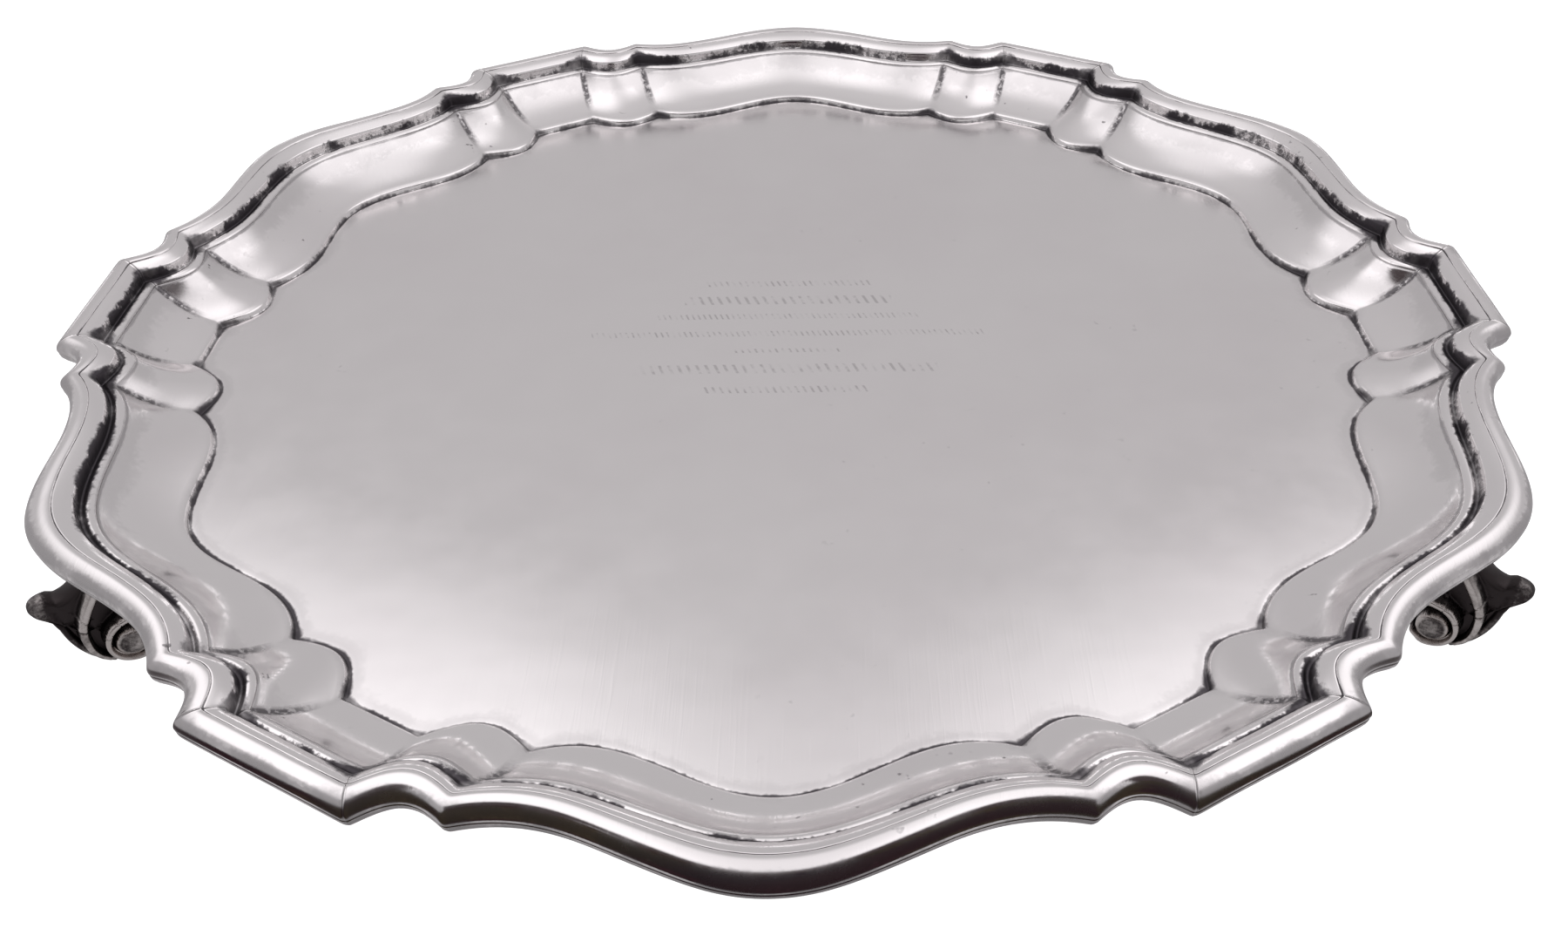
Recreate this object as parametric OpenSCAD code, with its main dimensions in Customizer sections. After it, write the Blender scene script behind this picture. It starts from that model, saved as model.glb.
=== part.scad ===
// Round salver with a six-bracket moulded rim on three cast scroll feet.
// Origin: on the table, under the middle of the plate. Z points up, and one bracket faces -Y.

/* [Tray] */
// Size over two opposite bracket crests
tray_size = 305; // [295:1:315]
// Height of the plate's top face above the table
plate_height = 20; // [19:0.25:21]
// Thickness of the silver sheet
sheet = 0.9; // [0.8:0.05:1.1]
// Height of the flange under the border, above the plate's top face
flange_rise = 9; // [8.5:0.1:9.5]
// Width of the sloping panel at a crest, from the plate to the border's groove
panel_w = 16; // [15.6:0.1:16.4]

/* [Rim outline] */
// Depth of a bracket's ogee at the rim's edge, from its crest to its shoulders
ogee_depth = 12.7; // [11:0.1:13.2]
// Depth of a notch in the rim's edge
notch_depth = 3.7; // [3:0.1:4.4]
// Angle from a bracket's crest to the far corner of its notch, at the rim's edge
notch_end = 23.4; // [23:0.1:24]

/* [Cast border] */
// Width of the border at a crest, from its groove to the rim's edge
border_w = 9; // [8.8:0.1:9.3]
// Height of the border's roll above the flange
roll_rise = 4.3; // [4.1:0.05:4.5]
// Width of the bead inside the groove
bead_w = 1.75; // [1.5:0.05:2]

/* [Feet] */
// Width of a foot across its volutes
foot_w = 12; // [10:0.5:13]
// Reach of the front of a foot from the middle of its volute
foot_reach = 10.4; // [10:0.1:10.8]
// Radius of the nub on a foot's knee
nub_r = 2.1; // [1.8:0.1:2.4]

/* [Hidden] */
silver = [0.80, 0.78, 0.79];
dark_silver = [0.62, 0.58, 0.54];

brackets = 6;
turn = 360 / brackets;
front = -90;
edge_r = tray_size / 2;
lobe_steps = 16;
notch_steps = 5;
unit_steps = lobe_steps + 2 * notch_steps;

// A rail is one line that runs all round the rim:
// [crest radius, ogee depth, shoulder, near corner, far corner's radius, its angle, notch depth].
// The shoulder and the near corner are sideways distances from the bracket's middle line.
edge_rail = [edge_r, ogee_depth, 39.8, 46.2, edge_r - 0.5, notch_end, notch_depth];
groove_r = edge_r - border_w;
groove_rail = [groove_r, 0.85 * ogee_depth, 38.6, 44.6, groove_r + 0.8, notch_end + 1.6, 1.05 * notch_depth];
plate_r = groove_r - panel_w;
plate_rail = [plate_r, 0.84 * ogee_depth, 31.7, 38.5, plate_r + 0.3, notch_end + 2.9, 1.19 * notch_depth];

function lerp(p, q, t) = p + (q - p) * t;
function spin(p, a) = [p.x * cos(a) - p.y * sin(a), p.x * sin(a) + p.y * cos(a)];
function ogee(rail, y) = [rail[0] - rail[1] * (1 - cos(180 * y / rail[2])) / 2, y];
function near_corner(rail, side) = ogee(rail, side * rail[3]);
function far_corner(rail, side) = rail[4] * [cos(rail[5]), side * sin(rail[5])];
// A notch sags from the chord between its corners towards the middle of the salver.
function notch(rail, p, q, t) =
    let (along = (q - p) / norm(q - p))
    lerp(p, q, t) + [-along.y, along.x] * rail[6] * sin(180 * t);
function unit_point(rail, i) =
    i <= notch_steps
        ? notch(rail, far_corner(rail, -1), near_corner(rail, -1), i / notch_steps)
    : i <= notch_steps + lobe_steps
        ? ogee(rail, rail[3] * (2 * (i - notch_steps) / lobe_steps - 1))
        : notch(rail, near_corner(rail, 1), far_corner(rail, 1), (i - notch_steps - lobe_steps) / notch_steps);
function unit_line(rail, k) =
    [for (i = [0:unit_steps]) spin(unit_point(rail, i), front + turn * k)];
function whole_line(rail) = [for (k = [0:brackets - 1]) each unit_line(rail, k)];
function straight_line(rail, k) = [unit_line(rail, k)[unit_steps], unit_line(rail, k + 1)[0]];
function lifted(p, z) = [p.x, p.y, z];

// The tray's section: [distance out from the plate's edge, height above the plate's top face].
step_top = [1.5, 1.45];
cove_end = [13.3, flange_rise - 0.6];
cove_turn = 40;
cove_steps = 6;
cove_slope = atan2(cove_end.y - step_top.y, cove_end.x - step_top.x) - cove_turn / 2;
cove_r = norm(cove_end - step_top) / (2 * sin(cove_turn / 2));
cove_centre = step_top + cove_r * [-sin(cove_slope), cos(cove_slope)];
lip_w = panel_w + border_w - 0.8;
function cove(r, i) =
    let (a = cove_slope + cove_turn * i / cove_steps)
    cove_centre + r * [sin(a), -cos(a)];
function tray_section() = concat(
    [[0, 0], [0.6, 0.95]],
    [for (i = [0:cove_steps]) cove(cove_r, i)],
    [[cove_end.x + 0.9, flange_rise], [lip_w - 0.3, flange_rise], [lip_w, flange_rise - sheet / 2]],
    [[lip_w - 0.3, flange_rise - sheet], [cove_end.x + 1.3, flange_rise - sheet]],
    [for (i = [cove_steps:-1:0]) cove(cove_r + sheet, i)],
    [[1.1, -sheet], [0, -sheet]]
);

// A point of the sheet, from the three rails' points at one place round the rim.
function sheet_point(plate_p, groove_p, edge_p, w) =
    w <= panel_w ? lerp(plate_p, groove_p, w / panel_w) : lerp(groove_p, edge_p, (w - panel_w) / border_w);

module tray() {
    section = tray_section();
    plate_line = whole_line(plate_rail);
    groove_line = whole_line(groove_rail);
    edge_line = whole_line(edge_rail);
    places = len(plate_line);
    corners = len(section);
    round_points = [
        for (j = [0:places - 1])
        for (s = section)
        lifted(sheet_point(plate_line[j], groove_line[j], edge_line[j], s.x), plate_height + s.y)
    ];
    round_faces = [
        for (j = [0:places - 1])
        for (i = [0:corners - 2])
        let (a = j * corners + i, d = (j + 1) % places * corners + i)
        each [[a, d + 1, a + 1], [a, d, d + 1]]
    ];
    // The plate's two faces are fans round its middle.
    top_middle = places * corners;
    plate_faces = [
        for (j = [0:places - 1])
        let (a = j * corners, d = (j + 1) % places * corners)
        each [[top_middle, d, a], [top_middle + 1, a + corners - 1, d + corners - 1]]
    ];
    color(silver)
        polyhedron(
            concat(round_points, [[0, 0, plate_height], [0, 0, plate_height - sheet]]),
            concat(round_faces, plate_faces)
        );
}

// The border's section: [distance out from the groove, height above the flange].
// It starts at the bead's inner foot, dips in the groove, steps up to a fillet and ends in a roll.
fillet_rise = roll_rise - 1.65;
roll_centre = [border_w - 3.5, roll_rise - 2.25];
roll_steps = 7;
function border_section() = concat(
    [[-bead_w, 0], [-bead_w + 0.25, 0.35], [-bead_w + 0.9, 0.6], [-0.5, 0.5], [0.2, 0.2]],
    [[0.55, 0.5], [0.9, fillet_rise - 0.25], [1.2, fillet_rise], [border_w - 4.9, roll_rise - 0.25]],
    [for (i = [0:roll_steps]) let (a = 110 - 115 * i / roll_steps) roll_centre + [3.5 * cos(a), 2.25 * sin(a)]],
    [[border_w - 0.5, 0.15], [border_w - 1, 0]]
);
groove_corner = 4;

// A length of border along two matching lines, one over the groove and one at the rim's edge.
module moulding(groove_line, edge_line) {
    section = border_section();
    places = len(groove_line);
    corners = len(section);
    flange = plate_height + flange_rise;
    points = [
        for (j = [0:places - 1])
        for (s = section)
        lifted(lerp(groove_line[j], edge_line[j], s.x / border_w), flange + s.y)
    ];
    walls = [
        for (j = [0:places - 2])
        for (i = [0:corners - 1])
        let (
            a = j * corners + i,
            b = j * corners + (i + 1) % corners,
            c = (j + 1) * corners + (i + 1) % corners,
            d = (j + 1) * corners + i
        )
        each [[a, c, b], [a, d, c]]
    ];
    // An end is two fans, one each side of the groove, with a triangle under the groove.
    end = concat(
        [for (i = [1:groove_corner - 1]) [0, i, i + 1]],
        [for (i = [groove_corner:corners - 3]) [corners - 1, i, i + 1]],
        [[0, groove_corner, corners - 1]]
    );
    last = (places - 1) * corners;
    polyhedron(points, concat(
        walls,
        end,
        [for (t = end) [last + t[2], last + t[1], last + t[0]]]
    ));
}

module border_bracket(number) {
    color(silver)
        moulding(unit_line(groove_rail, number - 1), unit_line(edge_rail, number - 1));
}

module border_straight(number) {
    color(silver)
        moulding(straight_line(groove_rail, number - 1), straight_line(edge_rail, number - 1));
}

// A foot is drawn in its own upright plane: x out from the middle of the volute, y up from the table.
volute_r = 5.2;
pad_l = 2.5;
under_flange = plate_height + flange_rise - sheet;
volute_place = edge_r - 8.7;
front_centre = [0.2, 12.5];
front_h = 12.8;
nub_centre = [foot_reach - 0.2, 14.4];
neck_centre = [9.6, under_flange];
neck_w = 7.6;
root_steps = 4;
function arc(centre, a, b, from, to, steps) =
    [for (i = [0:steps]) let (t = from + (to - from) * i / steps) centre + [a * cos(t), b * sin(t)]];
function bend(p, q, r, steps) =
    [for (i = [1:steps - 1]) let (t = i / steps) lerp(lerp(p, q, t), lerp(q, r, t), t)];
// The top of the foot follows the tray's underside, from the flange down the panel.
function root_line() = [
    [cove_end.x + 1.3 + plate_r - volute_place, under_flange],
    for (i = [cove_steps:-1:cove_steps - root_steps])
        cove(cove_r + sheet, i) + [plate_r - volute_place, plate_height]
];
function foot_outline() = concat(
    [[-pad_l, 0]],
    arc(front_centre, foot_reach, front_h, -asin(front_centre.y / front_h), -7, 10),
    arc(nub_centre, nub_r, nub_r, -65, 100, 8),
    arc(neck_centre, neck_w, under_flange - nub_centre.y - nub_r, 270, 180, 8),
    root_line(),
    bend(root_line()[root_steps + 1], [-5.2, 16], [-4.6, 7.6], 7),
    arc([0, volute_r], volute_r, volute_r, 152.5, 235, 6)
);

module foot_layer(width) {
    rotate([90, 0, 0])
        linear_extrude(width, center = true)
            children();
}

module scroll_foot(angle) {
    color(dark_silver)
        rotate([0, 0, angle])
            translate([volute_place, 0, 0]) {
                // The leg, with the knee and its nub
                foot_layer(0.5 * foot_w)
                    polygon(foot_outline());
                // The raised side rib
                foot_layer(0.78 * foot_w)
                    intersection() {
                        polygon(foot_outline());
                        polygon(arc([-0.8, 9.6], 8.6, 10.2, -65, 295, 36));
                    }
                // The volute
                foot_layer(foot_w)
                    translate([0, volute_r])
                        circle(volute_r - 0.3, $fn = 64);
            }
}

tray();
border_bracket(1);  // border_bracket_1
border_bracket(2);  // border_bracket_2
border_bracket(3);  // border_bracket_3
border_bracket(4);  // border_bracket_4
border_bracket(5);  // border_bracket_5
border_bracket(6);  // border_bracket_6
border_straight(1);  // border_straight_1
border_straight(2);  // border_straight_2
border_straight(3);  // border_straight_3
border_straight(4);  // border_straight_4
border_straight(5);  // border_straight_5
border_straight(6);  // border_straight_6
scroll_foot(90);  // scroll_foot_1
scroll_foot(210);  // scroll_foot_2
scroll_foot(330);  // scroll_foot_3
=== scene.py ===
import math

import bpy
import numpy as np
from mathutils import Matrix, Vector


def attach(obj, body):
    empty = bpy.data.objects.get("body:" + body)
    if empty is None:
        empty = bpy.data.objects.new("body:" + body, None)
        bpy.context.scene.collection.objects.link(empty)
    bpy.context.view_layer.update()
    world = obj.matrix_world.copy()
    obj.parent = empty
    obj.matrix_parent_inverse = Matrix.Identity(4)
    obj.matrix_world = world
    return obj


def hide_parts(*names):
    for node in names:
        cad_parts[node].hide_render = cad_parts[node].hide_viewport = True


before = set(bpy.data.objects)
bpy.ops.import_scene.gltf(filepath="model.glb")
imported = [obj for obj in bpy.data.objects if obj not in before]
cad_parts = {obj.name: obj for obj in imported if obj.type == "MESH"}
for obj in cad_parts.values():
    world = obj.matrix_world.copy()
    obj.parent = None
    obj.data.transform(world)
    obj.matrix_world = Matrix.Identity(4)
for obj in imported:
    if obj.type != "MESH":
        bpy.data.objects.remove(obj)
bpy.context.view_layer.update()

MM = 0.001
TAU = 2 * math.pi

# sizes in mm, from the table up and from the middle out
PLATE_Z = 20.0
SHEET = 0.9
FLANGE = 9.0
EDGE_R = 152.5
BORDER_W = 9.0
PANEL_W = 16.0
GROOVE_R = EDGE_R - BORDER_W
PLATE_R = GROOVE_R - PANEL_W
UNDER_FLANGE = PLATE_Z + FLANGE - SHEET
# the rim's ogees and notches: depth of an ogee, angle to a notch's far corner, depth of a notch
OGEE = 12.7
NOTCH_END = 23.4
NOTCH = 3.7
LOBES = 6
TURN = 360 / LOBES
# the feet: how far out the middle of a foot's volute is
VOLUTE_AT = EDGE_R - 8.7
FOOT_ANGLES = (90, 210, 330)


# ---------------------------------------------------------------- plan of the rim

# A rail is one line that runs all round the rim: crest radius, ogee depth, shoulder, near corner,
# far corner's radius, its angle, notch depth. The shoulder and the near corner are sideways distances.
EDGE = (EDGE_R, OGEE, 39.8, 46.2, EDGE_R - 0.5, NOTCH_END, NOTCH)
GROOVE = (GROOVE_R, 0.85 * OGEE, 38.6, 44.6, GROOVE_R + 0.8, NOTCH_END + 1.6, 1.05 * NOTCH)
PLATE = (PLATE_R, 0.84 * OGEE, 31.7, 38.5, PLATE_R + 0.3, NOTCH_END + 2.9, 1.19 * NOTCH)


def ogee(rail, y):
    """The lobe's curve, at the sideways distance y from its middle line."""
    y = np.asarray(y, float)
    return np.stack([rail[0] - rail[1] * (1 - np.cos(np.pi * y / rail[2])) / 2, y], -1)


def near(rail, side):
    """The notch's corner beside the lobe."""
    return ogee(rail, side * rail[3])


def far(rail, side):
    """The notch's corner beside the straight."""
    a = math.radians(rail[5])
    return rail[4] * np.array([math.cos(a), side * math.sin(a)])


def notch(rail, p, q, t):
    """The sagging line from corner p to corner q, at the parts t of the way."""
    along = (q - p) / np.linalg.norm(q - p)
    across = np.array([-along[1], along[0]])
    t = np.asarray(t, float)[:, None]
    return p + (q - p) * t + across * rail[6] * np.sin(np.pi * t)


def spun(p, degrees):
    """Points turned round the middle of the salver."""
    a = math.radians(degrees)
    c, s = math.cos(a), math.sin(a)
    return np.stack([p[:, 0] * c - p[:, 1] * s, p[:, 0] * s + p[:, 1] * c], -1)


def spaced(n, length):
    """n even steps from 0 to 1, with extra ones close to both ends."""
    e = 0.3 / length
    return np.array([0, e, 2.2 * e, *np.arange(1, n) / n, 1 - 2.2 * e, 1 - e])


N_NOTCH = spaced(18, 15.0)
N_LOBE = spaced(96, 96.0)
N_STRAIGHT = spaced(20, 32.0)


def rail_line(rail):
    """The rail's points all round the rim, unit by unit: notch, lobe, notch, straight."""
    out = []
    for k in range(LOBES):
        front, following = -90 + TURN * k, -90 + TURN * (k + 1)
        unit = [
            notch(rail, far(rail, -1), near(rail, -1), N_NOTCH),
            ogee(rail, rail[3] * (2 * N_LOBE - 1)),
            notch(rail, near(rail, 1), far(rail, 1), N_NOTCH),
        ]
        out += [spun(u, front) for u in unit]
        a = spun(far(rail, 1)[None], front)
        b = spun(far(rail, -1)[None], following)
        out.append(a + (b - a) * N_STRAIGHT[:, None])
    return np.concatenate(out)


RAILS = [rail_line(r) for r in (PLATE, GROOVE, EDGE)]
PLACES = len(RAILS[0])
UNIT = PLACES // LOBES
SEG_STARTS = np.cumsum([0, len(N_NOTCH), len(N_LOBE), len(N_NOTCH)])
CORNERS = sorted((k * UNIT + s) % PLACES for k in range(LOBES) for s in SEG_STARTS)
NEAR_CORNER = np.zeros(PLACES, bool)
for c in CORNERS:
    NEAR_CORNER[np.arange(c - 3, c + 4) % PLACES] = True


def ring(w, rounding=2):
    """The line round the rim at distance w out from the plate's edge at a crest, its corners eased."""
    plate, groove, edge = RAILS
    if w <= PANEL_W:
        p = plate + (groove - plate) * (w / PANEL_W)
    else:
        p = groove + (edge - groove) * ((w - PANEL_W) / BORDER_W)
    for _ in range(rounding):
        q = (np.roll(p, 1, 0) + 2 * p + np.roll(p, -1, 0)) / 4
        p = np.where(NEAR_CORNER[:, None], q, p)
    return p


GROOVE_STEPS = np.linalg.norm(np.roll(RAILS[1], -1, 0) - RAILS[1], axis=1)
ALONG = np.concatenate([[0], np.cumsum(GROOVE_STEPS)])
RIM_LENGTH = ALONG[-1]


def corner_nearness(reach=3.2):
    """1 at each corner of the rim, falling to 0 a few millimetres along it."""
    s = ALONG[:-1]
    out = np.zeros(PLACES)
    for c in CORNERS:
        d = np.abs((s - s[c] + RIM_LENGTH / 2) % RIM_LENGTH - RIM_LENGTH / 2)
        out = np.maximum(out, np.exp(-((d / reach) ** 2)))
    return out


def waves(seed, count, lowest, highest):
    """A smooth closed wander round the rim, about -1 to 1: the sum of count waves."""
    rng = np.random.RandomState(seed)
    s = ALONG[:-1] / RIM_LENGTH * TAU
    out = np.zeros(PLACES)
    for _ in range(count):
        n = rng.randint(lowest, highest + 1)
        out += rng.uniform(0.4, 1) * np.sin(n * s + rng.uniform(0, TAU))
    return out / math.sqrt(count)


# ---------------------------------------------------------------- mesh helpers


def mesh_object(name, points, faces, attributes, along_across=None):
    """A smooth mesh from points in mm. along_across holds each point's place along and across the rim."""
    me = bpy.data.meshes.new(name)
    me.from_pydata([tuple(p) for p in np.asarray(points) * MM], [], faces)
    me.update()
    me.polygons.foreach_set("use_smooth", [True] * len(me.polygons))
    if along_across is not None:
        layer = me.uv_layers.new(name="along_across")
        loops = np.zeros(len(me.loops), int)
        me.loops.foreach_get("vertex_index", loops)
        uv = np.stack([a[loops] for a in along_across], -1) * MM
        layer.data.foreach_set("uv", uv.astype(np.float32).ravel())
    for key, values in attributes.items():
        at = me.attributes.new(key, "FLOAT", "POINT")
        at.data.foreach_set("value", np.asarray(values, np.float32))
    ob = bpy.data.objects.new(name, me)
    bpy.context.scene.collection.objects.link(ob)
    return ob


def strip_faces(rows, cols, closed):
    """Quads between rows of points. Point i of row j has the index j * cols + i."""
    out = []
    for j in range(rows if closed else rows - 1):
        a, b = j * cols, (j + 1) % rows * cols
        out += [(a + i + 1, b + i + 1, b + i, a + i) for i in range(cols - 1)]
    return out


# ---------------------------------------------------------------- sections

# the panel's hollow is an arc of COVE_TURN degrees between two points: (distance out, height)
COVE_FROM = np.array([1.45, 1.45])
COVE_TO = np.array([13.3, FLANGE - 0.55])
COVE_TURN = 40.0
COVE_CHORD = COVE_TO - COVE_FROM
COVE_SLOPE = math.atan2(COVE_CHORD[1], COVE_CHORD[0]) - math.radians(COVE_TURN / 2)
COVE_R = np.linalg.norm(COVE_CHORD) / (2 * math.sin(math.radians(COVE_TURN / 2)))
COVE_C = COVE_FROM + COVE_R * np.array([-math.sin(COVE_SLOPE), math.cos(COVE_SLOPE)])


def cove(r, t):
    """The hollow's point at the part t of the way, at radius r from the arc's centre."""
    a = COVE_SLOPE + math.radians(COVE_TURN * t)
    return COVE_C + r * np.array([math.sin(a), -math.cos(a)])


LIP_W = PANEL_W + BORDER_W - 0.8


def tray_top():
    """The sheet's upper side from the plate to the lip: (distance out, height)."""
    pts = [(-1.6, 0), (-0.9, 0.0), (-0.5, -0.02), (-0.2, -0.07), (0.0, -0.08), (0.12, 0.0)]
    pts += [(0.26, 0.3), (0.42, 0.66), (0.56, 0.9), (0.7, 1.08), (0.9, 1.22), (1.15, 1.33)]
    pts += [tuple(cove(COVE_R, t)) for t in np.linspace(0, 1, 26)]
    pts += [(13.8, FLANGE - 0.12), (14.4, FLANGE), (16.5, FLANGE), (20, FLANGE)]
    pts += [(LIP_W - 0.35, FLANGE), (LIP_W - 0.12, FLANGE - 0.1), (LIP_W, FLANGE - 0.35)]
    return pts


def tray_under():
    """The sheet's lower side, from the lip back to the plate."""
    pts = [(LIP_W - 0.25, FLANGE - SHEET + 0.2), (LIP_W - 0.4, FLANGE - SHEET + 0.04)]
    pts += [(LIP_W - 0.6, FLANGE - SHEET), (20, FLANGE - SHEET), (16.5, FLANGE - SHEET)]
    pts += [(14.8, FLANGE - SHEET)]
    pts += [tuple(cove(COVE_R + SHEET, t)) for t in np.linspace(1, 0, 20)]
    pts += [(1.35, -0.25), (1.15, -0.62), (0.8, -SHEET + 0.03), (0.2, -SHEET), (-0.8, -SHEET)]
    return pts


# the roll is part of an ellipse, and a fine line and a crease run along its inner and outer side
ROLL_CENTRE = (5.55, 1.98)
ROLL_RADII = (3.53, 2.28)
FINE_LINE = 4.14
LIP_CREASE = 8.87


def border_section():
    """The cast border from its inner foot to its outer foot: (out from the groove, over the flange)."""
    pts = [(-2.3, -0.22), (-2.15, 0.0), (-1.95, 0.2), (-1.65, 0.4), (-1.3, 0.53), (-0.95, 0.58)]
    pts += [(-0.65, 0.54), (-0.42, 0.42), (-0.25, 0.3), (-0.05, 0.2), (0.18, 0.16), (0.38, 0.2)]
    pts += [(0.5, 0.4), (0.6, 0.8), (0.69, 1.3), (0.78, 1.8), (0.87, 2.2), (0.96, 2.45), (1.08, 2.6)]
    pts += [(1.24, 2.7)]
    # a band that rises to a fine line, then the roll
    for t in np.linspace(0.08, 1, 12):
        pts.append((1.24 + 2.78 * t, 2.7 + 1.2 * t + 0.16 * math.sin(math.pi * t)))
    pts += [(4.08, 3.86), (FINE_LINE, 3.84), (4.2, 3.88), (4.26, 3.98)]
    for a in np.radians(np.linspace(110, -14, 34)):
        over = (ROLL_RADII[0] * math.cos(a), ROLL_RADII[1] * math.sin(a))
        pts.append((ROLL_CENTRE[0] + over[0], ROLL_CENTRE[1] + over[1]))
    # a narrow lip under the roll, leaning inwards
    pts += [(8.88, 1.34), (8.86, 1.26), (8.92, 1.18), (8.93, 1.06), (8.86, 0.7), (8.74, 0.3)]
    pts += [(8.62, 0.08), (8.45, 0.0), (8.0, 0.0)]
    return pts


SECTION = border_section()

# ---------------------------------------------------------------- the tray


# the plate's rings, as parts of the way out to its edge, and how far the panel strays from its drawn line
PLATE_RINGS = (0.965, 0.93, 0.88, 0.82, 0.75, 0.67, 0.58, 0.48, 0.37, 0.25, 0.12)
STRAY = 0.06


def fan_in(points, along, across, faces, edge, z, flip):
    """Fills one face of the plate, ring by ring from its edge's point numbers to the middle."""
    every = np.arange(PLACES)
    for f in PLATE_RINGS:
        inner = len(points) + every
        points += [np.array([x, y, z]) for x, y in RAILS[0] * f]
        along += list(ALONG[:-1])
        across += [-(1 - f) * PLATE_R] * PLACES
        for j in range(PLACES):
            k = (j + 1) % PLACES
            q = (int(edge[j]), int(edge[k]), int(inner[k]), int(inner[j]))
            faces.append(q[::-1] if flip else q)
        edge = inner
    middle = len(points)
    points.append(np.array([0, 0, z]))
    along.append(0)
    across.append(-PLATE_R)
    for j in range(PLACES):
        t = (int(edge[j]), int(edge[(j + 1) % PLACES]), middle)
        faces.append(t[::-1] if flip else t)


def tray_mesh():
    section = tray_top() + tray_under()
    sway = waves(3, 14, 5, 40)
    lift = waves(4, 14, 5, 40)
    rows = []
    for w, z in section:
        p = RAILS[0] * (1 + w / PLATE_R) if w < 0 else ring(w)
        amount = np.clip(w / 6, 0, 1) * STRAY
        r = np.linalg.norm(p, axis=1, keepdims=True)
        p = p * (1 + (amount * sway)[:, None] / r)
        rows.append(np.concatenate([p, (PLATE_Z + z + amount * lift)[:, None]], 1))
    cols = len(section)
    points = list(np.stack(rows, 1).reshape(-1, 3))
    faces = strip_faces(PLACES, cols, True)
    along = list(np.repeat(ALONG[:-1], cols))
    across = [w for w, z in section] * PLACES
    corner = list(np.repeat(corner_nearness(), cols))
    first = np.arange(PLACES) * cols
    fan_in(points, along, across, faces, first, PLATE_Z, False)
    fan_in(points, along, across, faces, first + cols - 1, PLATE_Z - SHEET, True)
    corner += [0.0] * (len(points) - len(corner))
    points = np.array(points)
    # a hand-raised plate is never quite flat
    x, y, z = points.T
    inner = np.clip((PLATE_R - 12 - np.hypot(x, y)) / 30, 0, 1)
    dip = 0.05 * np.sin(x / 21 + 0.6) * np.cos(y / 27 - 0.4) + 0.035 * np.sin((x + 1.3 * y) / 13 + 2)
    points[:, 2] = z + dip * inner
    return mesh_object("salver_tray", points, faces, {"corner": corner}, (np.array(along), np.array(across)))


# ---------------------------------------------------------------- the cast border

# how a hand-finished casting strays from its drawn line, sideways and up
SWAY = 0.05 * waves(11, 18, 8, 70)
LIFT = 0.04 * waves(12, 18, 8, 70)


def border_piece(name, first, last):
    """The border over the rim's places first to last."""
    index = np.arange(first, last + 1) % PLACES
    rows = []
    for x, z in SECTION:
        p = ring(PANEL_W + x, 2 if x < 1 else 4)[index]
        r = np.linalg.norm(p, axis=1, keepdims=True)
        p = p * (1 + SWAY[index][:, None] / r)
        height = PLATE_Z + FLANGE + z + LIFT[index] * (z > 0.1)
        rows.append(np.concatenate([p, height[:, None]], 1))
    grid = np.stack(rows, 1)
    n, cols = grid.shape[:2]
    faces = strip_faces(n, cols, False)
    # the flat underside and the two ends close it
    for j in range(n - 1):
        a, b = j * cols, (j + 1) * cols
        faces.append((a, b, b + cols - 1, a + cols - 1))
    faces.append(tuple(range(cols)))
    faces.append(tuple(reversed(range((n - 1) * cols, n * cols))))
    s = ALONG[first] + np.concatenate([[0], np.cumsum(GROOVE_STEPS[index[:-1]])])
    across = np.tile([PANEL_W + x for x, z in SECTION], n)
    corner = np.repeat(corner_nearness()[index], cols)
    return mesh_object(name, grid.reshape(-1, 3), faces, {"corner": corner}, (np.repeat(s, cols), across))


# ---------------------------------------------------------------- the feet

# A foot is drawn side on: x out from the middle of its volute, z up from the table. Its thickness is
# read from a map of ribs over a recess.
FOOT_REACH = 10.4
FOOT_CENTRE = np.array([0.0, 5.2])
EYE_AT = np.array([-0.45, 4.7])
EYE_R = 3.0


def arc(c, a, b, start, end, n):
    t = np.radians(np.linspace(start, end, n))
    return np.stack([c[0] + a * np.cos(t), c[1] + b * np.sin(t)], -1)


def foot_outline():
    front_drop = -math.degrees(math.asin(12.5 / 12.8))
    front = arc((0.2, 12.5), FOOT_REACH, 12.8, front_drop, -9, 40)
    nub = arc((FOOT_REACH + 0.6, 15.4), 2.9, 1.75, -70, 100, 24)
    neck = arc((9.8, UNDER_FLANGE), 7.8, UNDER_FLANGE - 16.3, 268, 180, 24)
    # the root is let a little into the tray's flange and panel
    inwards = np.array([PLATE_R - VOLUTE_AT, PLATE_Z])
    root = [np.array([EDGE_R - VOLUTE_AT - 10.4, UNDER_FLANGE + 0.2])]
    root += [cove(COVE_R + SHEET * 0.7, t) + inwards for t in np.linspace(1, 0.36, 12)]
    root = np.array(root)
    t = np.linspace(0, 1, 24)[1:-1, None]
    p, q, r = root[-1], np.array([-5.4, 16]), np.array([-4.9, 7.4])
    back = (p + (q - p) * t) * (1 - t) + (q + (r - q) * t) * t
    heel = arc((0, 5.2), 5.3, 5.2, 155, 235, 16)
    pad = np.array([[-2.6, 0.0], [1.9, 0.0]])
    return np.concatenate([front, nub, neck, root, back, heel, pad])


def polar_reach(outline, centre, angles):
    """How far the outline is from the centre along each direction."""
    d = outline - centre
    e = np.roll(d, -1, 0) - d
    out = np.zeros(len(angles))
    for i, a in enumerate(angles):
        u = np.array([math.cos(a), math.sin(a)])
        denom = u[0] * e[:, 1] - u[1] * e[:, 0]
        with np.errstate(divide="ignore", invalid="ignore"):
            r = (d[:, 0] * e[:, 1] - d[:, 1] * e[:, 0]) / denom
            t = (d[:, 0] * u[1] - d[:, 1] * u[0]) / denom
        ok = (t >= -1e-9) & (t <= 1 + 1e-9) & (r > 0) & np.isfinite(r)
        out[i] = r[ok].max()
    return out


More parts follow.
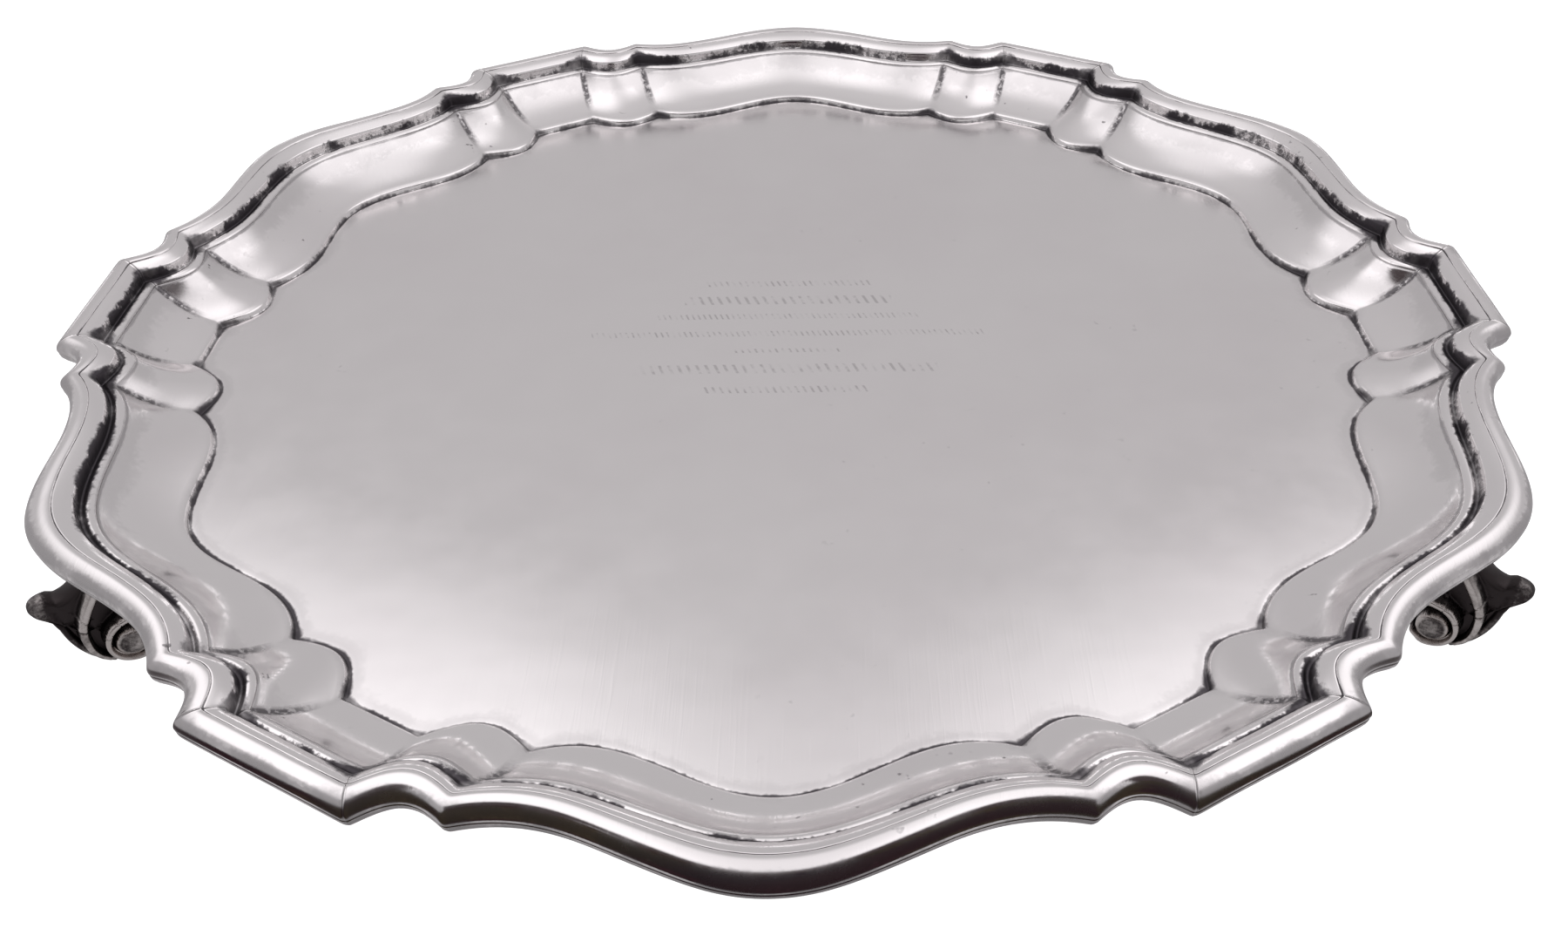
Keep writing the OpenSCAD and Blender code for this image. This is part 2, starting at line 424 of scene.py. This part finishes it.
def curve_points(ctrl, n=80):
    """A smooth curve through control rows (x, z, half thickness, height)."""
    c = np.array(ctrl, float)
    c = np.concatenate([[2 * c[0] - c[1]], c, [2 * c[-1] - c[-2]]])
    out = []
    for i in range(1, len(c) - 2):
        p0, p1, p2, p3 = c[i - 1 : i + 3]
        bend = 2 * p0 - 5 * p1 + 4 * p2 - p3
        twist = 3 * p1 - p0 - 3 * p2 + p3
        for t in np.linspace(0, 1, n // (len(c) - 3), endpoint=False):
            out.append(0.5 * (2 * p1 + (p2 - p0) * t + bend * t**2 + twist * t**3))
    out.append(c[-2])
    return np.array(out)


def rib_height(x, z, ctrl):
    """A rib's surface over each point, under a rounded section, and far below away from the rib."""
    nearest = np.full(x.shape, 1e9)
    top = np.zeros(x.shape)
    half = np.ones(x.shape)
    for px, pz, thick, height in curve_points(ctrl):
        d = np.hypot(x - px, z - pz) / max(thick, 0.05)
        closer = d < nearest
        nearest = np.where(closer, d, nearest)
        top = np.where(closer, height, top)
        half = np.where(closer, thick, half)
    inside = np.clip(1 - nearest**2, 0, 1)
    return np.where(nearest < 1, top - half * (1 - np.sqrt(inside)) * 0.9, -1e3)


RIB_FRONT = [(10.0, 13.6, 1.0, 2.6), (9.85, 11.2, 1.0, 3.2), (9.2, 8.2, 0.95, 3.7)]
RIB_FRONT += [(7.9, 5.4, 0.85, 4.0), (6.1, 3.1, 0.75, 4.2), (3.6, 1.1, 0.6, 4.3)]
RIB_MIDDLE = [(0.6, 20.5, 1.2, 5.0), (1.9, 18.3, 1.25, 5.1), (3.4, 16.2, 1.25, 5.2)]
RIB_MIDDLE += [(5.1, 13.4, 1.15, 5.2), (6.3, 10.7, 1.0, 5.2), (6.75, 8.0, 0.85, 5.1)]
RIB_MIDDLE += [(6.5, 5.2, 0.65, 5.0), (5.6, 3.1, 0.5, 4.9), (4.2, 1.7, 0.4, 4.8)]
RIB_VOLUTE = [(-4.4, 12.5, 0.9, 5.2), (-4.2, 9.4, 0.95, 5.7), (-2.4, 10.2, 0.9, 6.0)]
RIB_VOLUTE += [(0.6, 9.6, 0.85, 6.1), (2.7, 8.0, 0.8, 6.2), (3.5, 5.4, 0.75, 6.2)]
RIB_VOLUTE += [(2.9, 2.9, 0.7, 6.1), (1.2, 1.3, 0.65, 6.0), (-1.3, 0.8, 0.6, 5.9)]
RIB_VOLUTE += [(-3.6, 2.3, 0.6, 5.9)]


def from_eye(x, z):
    """Distance from the middle of the volute's eye, in its radii."""
    return np.hypot(x - EYE_AT[0], z - EYE_AT[1]) / EYE_R


def foot_half_width(x, z):
    """Half the foot's thickness at each point of its side."""
    recess = 2.7 + 0.5 * np.clip((z - 16) / 8, 0, 1)
    keel = np.clip((x - 8.6) / 1.5, 0, 1)
    w = recess * (1 - keel) + 2.2 * keel
    # it spreads towards the flange
    w = w + np.clip((z - 20) / 7, 0, 1) ** 1.5 * 3.0
    for ctrl in (RIB_FRONT, RIB_MIDDLE, RIB_VOLUTE):
        w = np.maximum(w, rib_height(x, z, ctrl))
    eye = from_eye(x, z)
    dome = 5.3 + np.sqrt(np.clip(1 - eye**2, 0, 1))
    w = np.where(eye < 1, np.maximum(w, dome), w)
    groove = np.exp(-(((eye - 1.12) / 0.1) ** 2))
    return w - 0.9 * groove * (eye > 1)


def foot_piece(name, angle):
    """A foot standing at an angle round the salver: two sides that meet in a rounded rim."""
    angles = np.linspace(0, TAU, 300, endpoint=False)
    reach = polar_reach(foot_outline(), FOOT_CENTRE, angles)
    rounding = np.sin(np.linspace(0, np.pi / 2, 10))[1:]
    rho = np.concatenate([np.linspace(0, 0.9, 90)[1:], 0.9 + 0.1 * rounding])
    turn, part = np.meshgrid(angles, rho, indexing="ij")
    x = FOOT_CENTRE[0] + reach[:, None] * part * np.cos(turn)
    z = FOOT_CENTRE[1] + reach[:, None] * part * np.sin(turn)
    w = foot_half_width(x, z)
    eased = w.copy()
    eased[:, 1:-1] = (w[:, :-2] + 2 * w[:, 1:-1] + w[:, 2:]) / 4
    w = (np.roll(eased, 1, 0) + 2 * eased + np.roll(eased, -1, 0)) / 4
    # what stands proud is worn bright: the ribs and the nub, the nub lifted further as a painted highlight,
    # and the eye's dome is made darker
    relief_and_highlight = (w - 2.6) / 2.6 + 0.6 * np.clip((x - 9.6) / 1.6, 0, 1) * (z > 12.5)
    relief_and_highlight -= 0.75 * np.clip((0.9 - from_eye(x, z)) / 0.2, 0, 1)
    edge = np.clip((part - 0.9) / 0.1, 0, 1)
    power = np.where(z < 1.0, 6.0, 2.3)
    w = w * np.clip(1 - edge**power, 0, 1) ** (1 / power)
    n, k = x.shape[0], x.shape[1] - 1
    sides = [np.stack([x, side * w, z], -1)[:, :k].reshape(-1, 3) for side in (1, -1)]
    rim = np.stack([x[:, -1], 0 * x[:, -1], z[:, -1]], -1)
    middle = foot_half_width(FOOT_CENTRE[:1], FOOT_CENTRE[1:])[0]
    middles = [[FOOT_CENTRE[0], y, FOOT_CENTRE[1]] for y in (middle, -middle)]
    points = np.concatenate([*sides, rim, middles])
    rim_start = 2 * n * k
    faces = []
    for side in (0, 1):
        for j in range(n):
            following = (j + 1) % n
            a, b = (side * n + j) * k, (side * n + following) * k
            around = [(a + i, a + i + 1, b + i + 1, b + i) for i in range(k - 1)]
            around.append((a + k - 1, rim_start + j, rim_start + following, b + k - 1))
            around.append((rim_start + n + side, a, b))
            faces += around if side else [f[::-1] for f in around]
    inner = relief_and_highlight[:, :k].ravel()
    values = np.concatenate([inner, inner, relief_and_highlight[:, -1], [1.2, 1.2]])
    a = math.radians(angle)
    px, py, pz = points[:, 0] + VOLUTE_AT, points[:, 1], points[:, 2]
    points = np.stack([px * math.cos(a) - py * math.sin(a), px * math.sin(a) + py * math.cos(a), pz], -1)
    return mesh_object(name, points, faces, {"relief_and_highlight": values})


# ---------------------------------------------------------------- materials


class Nodes:
    """Small helper for building a material's nodes."""

    def __init__(self, name):
        self.material = bpy.data.materials.new(name)
        self.material.use_nodes = True
        self.tree = self.material.node_tree
        self.shader = self.tree.nodes["Principled BSDF"]

    def add(self, kind, **settings):
        n = self.tree.nodes.new(kind)
        for k, v in settings.items():
            setattr(n, k, v)
        return n

    def put(self, socket, value):
        if isinstance(value, bpy.types.NodeSocket):
            self.tree.links.new(value, socket)
        else:
            socket.default_value = value

    def math(self, op, a, b=0.0):
        n = self.add("ShaderNodeMath", operation=op)
        self.put(n.inputs[0], a)
        self.put(n.inputs[1], b)
        return n.outputs[0]

    def product(self, *values):
        out = values[0]
        for v in values[1:]:
            out = self.math("MULTIPLY", out, v)
        return out

    def distance(self, value, middle=0.0):
        return self.math("ABSOLUTE", self.math("SUBTRACT", value, middle))

    def smooth(self, value, low, high, to_low=0.0, to_high=1.0):
        n = self.add("ShaderNodeMapRange", interpolation_type="SMOOTHSTEP")
        for s, v in zip(n.inputs, (value, low, high, to_low, to_high)):
            self.put(s, v)
        return n.outputs[0]

    def split(self, vector):
        n = self.add("ShaderNodeSeparateXYZ")
        self.put(n.inputs[0], vector)
        return n.outputs

    def noise(self, vector, scale, detail, rough):
        n = self.add("ShaderNodeTexNoise")
        self.put(n.inputs["Vector"], vector)
        n.inputs["Scale"].default_value = scale
        n.inputs["Detail"].default_value = detail
        n.inputs["Roughness"].default_value = rough
        return n.outputs["Fac"]

    def mapped(self, vector, scale, rotation=(0, 0, 0)):
        n = self.add("ShaderNodeMapping")
        self.put(n.inputs["Vector"], vector)
        n.inputs["Scale"].default_value = scale
        n.inputs["Rotation"].default_value = rotation
        return n.outputs[0]

    def colour_mix(self, factor, a, b):
        n = self.add("ShaderNodeMix", data_type="RGBA")
        self.put(n.inputs[0], factor)
        self.put(n.inputs[6], a)
        self.put(n.inputs[7], b)
        return n.outputs[2]

    def bump(self, height, strength, distance, normal=None):
        n = self.add("ShaderNodeBump")
        n.inputs["Strength"].default_value = strength
        n.inputs["Distance"].default_value = distance
        self.put(n.inputs["Height"], height)
        if normal is not None:
            self.put(n.inputs["Normal"], normal)
        return n.outputs[0]


# polished silver, silver under a thin film, and tarnish, whose colour also paints shade on the roll
SILVER = (0.93, 0.905, 0.905, 1)
FILM = (0.88, 0.842, 0.85, 1)
TARNISH_AND_PAINTED_SHADE = (0.030, 0.024, 0.032, 1)
# oxidised silver in the feet's recesses, and their worn ribs from dull to bright, which also colour the
# nub's painted highlight
RECESS = (0.050, 0.042, 0.043, 1)
WORN_DULL = (0.42, 0.38, 0.36, 1)
WORN_BRIGHT = (0.86, 0.82, 0.80, 1)
# depths of relief in the bump nodes, in metres
SCRATCH_DEPTH = 0.00002
PIT_DEPTH = 0.0001
DENT_DEPTH = 0.0003
HAMMER_DEPTH = 0.0004

# faint rows of slanting engraved strokes on the plate: (row's middle, half length, spacing, height) in mm
STROKES = [(24.8, 19.9, 1.5, 2.6), (17.4, 24.0, 2.1, 3.8), (10.4, 30.4, 1.3, 2.4), (3.2, 44.0, 1.3, 2.4)]
STROKES += [(-3.7, 12.0, 1.5, 1.8), (-10.7, 33.0, 2.0, 3.6), (-18.6, 18.0, 1.6, 2.6)]
STROKE_LEAN = 0.35


def engraving(m, obj):
    """Darkness of the engraved rows, worn away in places."""
    x, y, _ = m.split(obj)
    total = 0.0
    for middle, half, spacing, height in STROKES:
        over = m.math("SUBTRACT", y, middle * MM)
        slant = m.math("DIVIDE", m.math("ADD", x, m.math("MULTIPLY", over, STROKE_LEAN)), spacing * MM)
        line = m.smooth(m.distance(m.math("FRACT", slant), 0.5), 0.08, 0.24, 1.0, 0.0)
        high = m.smooth(m.distance(over), (height / 2 - 0.3) * MM, height / 2 * MM, 1.0, 0.0)
        wide = m.smooth(m.distance(x), (half - 0.6) * MM, half * MM, 1.0, 0.0)
        total = m.math("MAXIMUM", total, m.product(line, high, wide))
    worn = m.smooth(m.noise(obj, 260, 3, 0.7), 0.40, 0.62, 0.03, 0.30)
    return m.math("MULTIPLY", total, worn)


def tarnish_and_painted_shade(m, obj, w, patchy, lines):
    """Darkness along lines of the section (middle, half width, fade in mm, amount), wider at corners,
    and in scattered flecks: tarnish, and on the roll's lower half painted shade as well."""
    corner = m.add("ShaderNodeAttribute", attribute_name="corner").outputs["Fac"]
    fine = m.noise(obj, 900, 3, 0.65)
    spread = m.math("ADD", m.smooth(patchy, 0.35, 0.7, 0.45, 1.5), m.math("MULTIPLY", corner, 1.5))
    spread = m.math("ADD", spread, m.math("MULTIPLY", m.math("SUBTRACT", fine, 0.5), 1.6))
    shrink = m.math("DIVIDE", 1.0, m.math("MAXIMUM", spread, 0.2))
    patches = m.smooth(patchy, 0.28, 0.55, 0.45, 1.0)
    dark = 0.0
    for middle, half, fade, amount in lines:
        off = m.math("MULTIPLY", m.distance(w, middle * MM), shrink)
        line = m.smooth(off, half * MM, (half + fade) * MM, 1.0, 0.0)
        dark = m.math("MAXIMUM", dark, m.product(line, amount, patches))
    where = m.math("ADD", m.noise(obj, 28, 2, 0.5), m.math("MULTIPLY", corner, 0.12))
    flecks = m.product(m.smooth(m.noise(obj, 420, 2, 0.5), 0.70, 0.77), m.smooth(where, 0.52, 0.66))
    # the plate is polished more often than the panel
    flecks = m.math("MULTIPLY", flecks, m.smooth(w, -1.0 * MM, 1.0 * MM, 0.12, 0.75))
    return m.math("MAXIMUM", dark, flecks), corner, fine


def creases(m, w, corner, fine):
    """Dirt in the creases that cross the panel at the rim's corners."""
    near = m.smooth(corner, 0.84, 0.99)
    out = m.smooth(w, 3 * MM, 9 * MM)
    end = m.smooth(w, 13.5 * MM, 14.5 * MM, 1.0, 0.0)
    return m.product(near, out, end, m.smooth(fine, 0.35, 0.55, 0.35, 0.85))


def silver_material(name, lines, roughness, scratch, streak, plate=False):
    m = Nodes(name)
    obj = m.add("ShaderNodeTexCoord").outputs["Object"]
    uv = m.add("ShaderNodeUVMap", uv_map="along_across").outputs[0]
    w = m.split(uv)[1]
    patchy = m.noise(obj, 90, 4, 0.6)
    dark, corner, fine = tarnish_and_painted_shade(m, obj, w, patchy, lines)
    if plate:
        dark = m.math("MAXIMUM", dark, engraving(m, obj))
        dark = m.math("MAXIMUM", dark, creases(m, w, corner, fine))
    film = m.smooth(m.noise(obj, 16, 4, 0.6), 0.42, 0.72, 0.0, 0.5)
    clean = m.colour_mix(film, SILVER, FILM)
    m.put(m.shader.inputs["Base Color"], m.colour_mix(dark, clean, TARNISH_AND_PAINTED_SHADE))
    m.shader.inputs["Metallic"].default_value = 1.0
    polish = m.smooth(patchy, 0.3, 0.7, roughness * 0.8, roughness * 1.25)
    m.put(m.shader.inputs["Roughness"], m.math("ADD", polish, m.math("MULTIPLY", dark, 0.3)))
    # fine scratches in several directions, polishing streaks along the rim and the hammer's waves
    scratches = 0.0
    for turn, size in ((0.3, 900), (1.4, 1100), (2.35, 1000), (0.9, 1300)):
        stretched = m.mapped(obj, (1, 0.03, 1), (0, 0, turn))
        scratches = m.math("ADD", scratches, m.smooth(m.noise(stretched, size, 2, 0.6), 0.55, 0.75))
    grain = m.noise(m.mapped(uv, (0.02, 1, 1)), 1500, 2, 0.6)
    normal = m.bump(scratches, scratch, SCRATCH_DEPTH)
    normal = m.bump(grain, streak, SCRATCH_DEPTH, normal)
    normal = m.bump(m.noise(obj, 45, 2, 0.5), 0.25, HAMMER_DEPTH, normal)
    m.put(m.shader.inputs["Normal"], normal)
    return m.material


def foot_material(name):
    m = Nodes(name)
    obj = m.add("ShaderNodeTexCoord").outputs["Object"]
    # worn ribs are bright, and the nub also carries a painted highlight
    worn = m.add("ShaderNodeAttribute", attribute_name="relief_and_highlight").outputs["Fac"]
    patchy = m.noise(obj, 260, 4, 0.6)
    fine = m.noise(obj, 1400, 4, 0.7)
    for mottle, amount in ((patchy, 1.2), (fine, 0.8)):
        worn = m.math("ADD", worn, m.math("MULTIPLY", m.math("SUBTRACT", mottle, 0.5), amount))
    worn = m.smooth(worn, 0.30, 1.15)
    bright = m.colour_mix(patchy, WORN_DULL, WORN_BRIGHT)
    m.put(m.shader.inputs["Base Color"], m.colour_mix(worn, RECESS, bright))
    m.shader.inputs["Metallic"].default_value = 1.0
    m.put(m.shader.inputs["Roughness"], m.smooth(worn, 0, 1, 0.42, 0.24))
    normal = m.bump(m.noise(obj, 900, 4, 0.6), 0.25, PIT_DEPTH)
    normal = m.bump(m.noise(obj, 220, 3, 0.55), 0.35, DENT_DEPTH, normal)
    m.put(m.shader.inputs["Normal"], normal)
    return m.material


def floor_material():
    m = Nodes("studio_floor")
    obj = m.add("ShaderNodeTexCoord").outputs["Object"]
    tone = m.smooth(m.noise(obj, 3, 2, 0.5), 0.3, 0.7)
    paper = m.colour_mix(tone, (0.93, 0.93, 0.93, 1), (0.95, 0.95, 0.95, 1))
    m.put(m.shader.inputs["Base Color"], paper)
    m.shader.inputs["Roughness"].default_value = 0.8
    m.shader.inputs["Emission Color"].default_value = (1, 1, 1, 1)
    m.shader.inputs["Emission Strength"].default_value = 0.9
    return m.material


# ---------------------------------------------------------------- camera

CAMERA_AT = Vector((8.59, -269.5, 194.7)) * MM
TARGET = Vector((9.02, -52.93, 20.0)) * MM
ROLL = math.radians(-0.547)

cam_data = bpy.data.cameras.new("camera")
cam = bpy.data.objects.new("camera", cam_data)
bpy.context.scene.collection.objects.link(cam)
back = (CAMERA_AT - TARGET).normalized()
level_right = Vector((0, 0, 1)).cross(back).normalized()
level_up = back.cross(level_right)
right = math.cos(ROLL) * level_right + math.sin(ROLL) * level_up
up = -math.sin(ROLL) * level_right + math.cos(ROLL) * level_up
facing = Matrix((right, up, back)).transposed().to_4x4()
cam.matrix_world = Matrix.Translation(CAMERA_AT) @ facing
cam_data.sensor_width = 36
cam_data.lens = 33.094
cam_data.shift_x = -0.0291
cam_data.shift_y = 0.0127
cam_data.clip_start = 0.01
cam_data.clip_end = 50
bpy.context.scene.camera = cam

# ---------------------------------------------------------------- pieces

# tarnish lines across the section, the one on the roll also painted shade: (middle, half width, fade in mm,
# amount)
tray_lines = [
    (-0.15, 0.2, 0.5, 0.93),
    (-1.2, 0.1, 2.6, 0.12),
    (12.6, 0.6, 2.6, 0.14),
    (13.6, 0.1, 0.3, 0.5),
    (LIP_W - 0.1, 0.05, 0.1, 0.1),
]
border_lines = [
    (PANEL_W - 2.2, 0.02, 0.25, 0.35),
    (PANEL_W + 0.05, 0.62, 0.6, 0.95),
    (PANEL_W + FINE_LINE, 0.03, 0.07, 0.9),
    # the roll's lower half: speckled tarnish, and painted shade standing for the reflection of a dark room
    # in front
    (PANEL_W + 8.4, 0.3, 1.1, 0.42),
    (PANEL_W + LIP_CREASE, 0.03, 0.05, 0.35),
]
sheet_silver = silver_material("sheet_silver", tray_lines, 0.15, 0.25, 0.06, plate=True)
border_silver = silver_material("cast_border_silver", border_lines, 0.13, 0.14, 0.10)
foot_silver = foot_material("oxidised_silver")


def keep(piece, node, material):
    piece.data.materials.append(material)
    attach(piece, "root")
    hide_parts(node)


keep(tray_mesh(), "tray", sheet_silver)
for k in range(LOBES):
    start = k * UNIT
    straight = start + int(SEG_STARTS[3])
    bracket_piece = border_piece(f"salver_bracket_{k + 1}", start, straight)
    keep(bracket_piece, f"border_bracket_{k + 1}", border_silver)
    straight_piece = border_piece(f"salver_straight_{k + 1}", straight, start + UNIT)
    keep(straight_piece, f"border_straight_{k + 1}", border_silver)
for k, angle in enumerate(FOOT_ANGLES):
    keep(foot_piece(f"salver_foot_{k + 1}", angle), f"scroll_foot_{k + 1}", foot_silver)

# ---------------------------------------------------------------- studio

# One soft light card overhead, brighter to the left and right of the camera. Behind it, on the
# camera's side, it is black, and a low black card stands round the front of the rim. Only the
# silver sees them.
TINT = (1, 0.972, 0.99, 1)
BLUE_BLACK = (0.009, 0.008, 0.013, 1)
BROWN = (0.040, 0.030, 0.020, 1)
RED_BLACK = (0.026, 0.013, 0.016, 1)
FLOOR_HALF = 6.0
OVERHEAD_HALF = 0.75
OVERHEAD_Z = 0.40
RIM_CARD_R = (EDGE_R + 15) * MM
RIM_CARD_Z = (0.003, 0.12)
RIM_CARD_TURN = 62
RIM_CARD_PANELS = 62


def flat_object(name, points, faces, material):
    me = bpy.data.meshes.new(name)
    me.from_pydata(points, [], faces)
    me.materials.append(material)
    ob = bpy.data.objects.new(name, me)
    bpy.context.scene.collection.objects.link(ob)
    return ob


def square(half, z):
    return [(-half, -half, z), (half, -half, z), (half, half, z), (-half, half, z)], [(0, 1, 2, 3)]


def card(name, points, faces, material):
    ob = flat_object(name, points, faces, material)
    ob.visible_camera = ob.visible_diffuse = ob.visible_shadow = ob.visible_transmission = False


class Studio(Nodes):
    """Nodes of a card or the world: a position split into x, y, z, and emission laid over clear."""

    def __init__(self, name, kind="material"):
        if kind == "world":
            self.material = bpy.data.worlds.new(name)
            self.material.use_nodes = True
            self.tree = self.material.node_tree
        else:
            Nodes.__init__(self, name)
            self.tree.nodes.remove(self.shader)
        output = "Generated" if kind == "world" else "Object"
        self.x, self.y, self.z = self.split(self.add("ShaderNodeTexCoord").outputs[output])

    def light(self, colour, strength):
        n = self.add("ShaderNodeEmission")
        self.put(n.inputs[0], colour)
        self.put(n.inputs[1], strength)
        return n.outputs[0]

    def mix(self, factor, a, b):
        n = self.add("ShaderNodeMixShader")
        self.put(n.inputs[0], factor)
        self.put(n.inputs[1], a)
        self.put(n.inputs[2], b)
        return n.outputs[0]

    def finish(self, surface):
        self.put(self.tree.nodes["Material Output"].inputs["Surface"], surface)
        return self.material


def overhead_material():
    m = Studio("overhead_card")
    sideways = m.distance(m.x)
    reach = m.math("SUBTRACT", m.y, m.math("MULTIPLY", sideways, 0.45))
    lit = m.math("MULTIPLY", m.smooth(m.y, -0.16, -0.10), m.smooth(reach, 0.10, 0.30, 1.0, 0.0))
    lit = m.math("MULTIPLY", lit, m.smooth(sideways, 0.36, 0.66, 1.0, 0.0))
    level = m.math("MULTIPLY", lit, m.smooth(sideways, 0.02, 0.16, 0.30, 0.58))
    over_clear = m.add("ShaderNodeAddShader")
    m.put(over_clear.inputs[0], m.add("ShaderNodeBsdfTransparent").outputs[0])
    m.put(over_clear.inputs[1], m.light(TINT, level))
    black = m.math("MULTIPLY", m.smooth(m.y, -0.40, -0.34), m.smooth(m.y, -0.17, -0.14, 1.0, 0.0))
    black = m.math("MULTIPLY", black, m.smooth(sideways, 0.24, 0.34, 1.0, 0.0))
    return m.finish(m.mix(black, over_clear.outputs[0], m.light((1, 0.75, 0.78, 1), 0.05)))


def rim_card_material():
    """Black, reddish brown to blue, up to a line that is highest in front of the middle."""
    m = Studio("rim_card")
    turn = m.distance(m.math("ARCTAN2", m.x, m.math("MULTIPLY", m.y, -1.0)))
    fall = m.math("POWER", m.math("DIVIDE", turn, 0.42), 3.5)
    hill = m.math("POWER", math.e, m.math("MULTIPLY", fall, -1.0))
    top = m.math("ADD", m.math("MULTIPLY", hill, 0.085), 0.030)
    cover = m.smooth(m.math("SUBTRACT", m.z, top), -0.0015, 0.0015, 1.0, 0.0)
    cover = m.math("MULTIPLY", cover, m.smooth(turn, 0.66, 1.02, 1.0, 0.0))
    obj = m.add("ShaderNodeTexCoord").outputs["Object"]
    tone = m.smooth(m.noise(obj, 22, 2, 0.5), 0.38, 0.62)
    dark = m.colour_mix(m.smooth(turn, 0.05, 0.35), BLUE_BLACK, BROWN)
    colour = m.colour_mix(tone, dark, RED_BLACK)
    clear = m.add("ShaderNodeBsdfTransparent").outputs[0]
    return m.finish(m.mix(cover, clear, m.light(colour, 1.0)))


def studio_world():
    """A pale room, its ground darker straight below as a painted shadow of the salver, and two rows of small
    lamps low down behind the object.
    """
    w = Studio("studio", "world")
    sky = w.smooth(w.z, 0.45, 0.95, 0.50, 0.60)
    # painted shadow: the ground is darker straight below, standing for the salver's shadow on the floor
    ground = w.smooth(w.z, -0.95, -0.75, 0.30, 0.47)
    above = w.math("GREATER_THAN", w.z, 0.0)
    level = w.math("ADD", w.math("MULTIPLY", above, w.math("SUBTRACT", sky, ground)), ground)
    bearing = w.math("ARCTAN2", w.x, w.y)
    lamps = w.smooth(w.math("SINE", w.math("MULTIPLY", bearing, 70.0)), -0.6, 0.2)
    lamps = w.math("MULTIPLY", lamps, w.smooth(w.distance(bearing), 0.75, 1.0, 1.0, 0.0))
    for height in (0.020, 0.072):
        row = w.smooth(w.distance(w.z, height), 0.008, 0.016, 1.3, 0.0)
        level = w.math("ADD", level, w.math("MULTIPLY", row, lamps))
    background = w.tree.nodes["Background"]
    w.put(background.inputs["Strength"], level)
    background.inputs["Color"].default_value = TINT
    return w.material


floor = flat_object("floor", *square(FLOOR_HALF, 0), floor_material())
floor.visible_glossy = False
card("overhead_card", *square(OVERHEAD_HALF, OVERHEAD_Z), overhead_material())
turns = np.radians(np.linspace(-RIM_CARD_TURN, RIM_CARD_TURN, RIM_CARD_PANELS + 1))
posts = [(RIM_CARD_R * math.sin(t), -RIM_CARD_R * math.cos(t), z) for t in turns for z in RIM_CARD_Z]
panels = [(i, i + 2, i + 3, i + 1) for i in range(0, 2 * RIM_CARD_PANELS, 2)]
card("rim_card", posts, panels, rim_card_material())
bpy.context.scene.world = studio_world()
bpy.context.scene.view_settings.view_transform = "Standard"
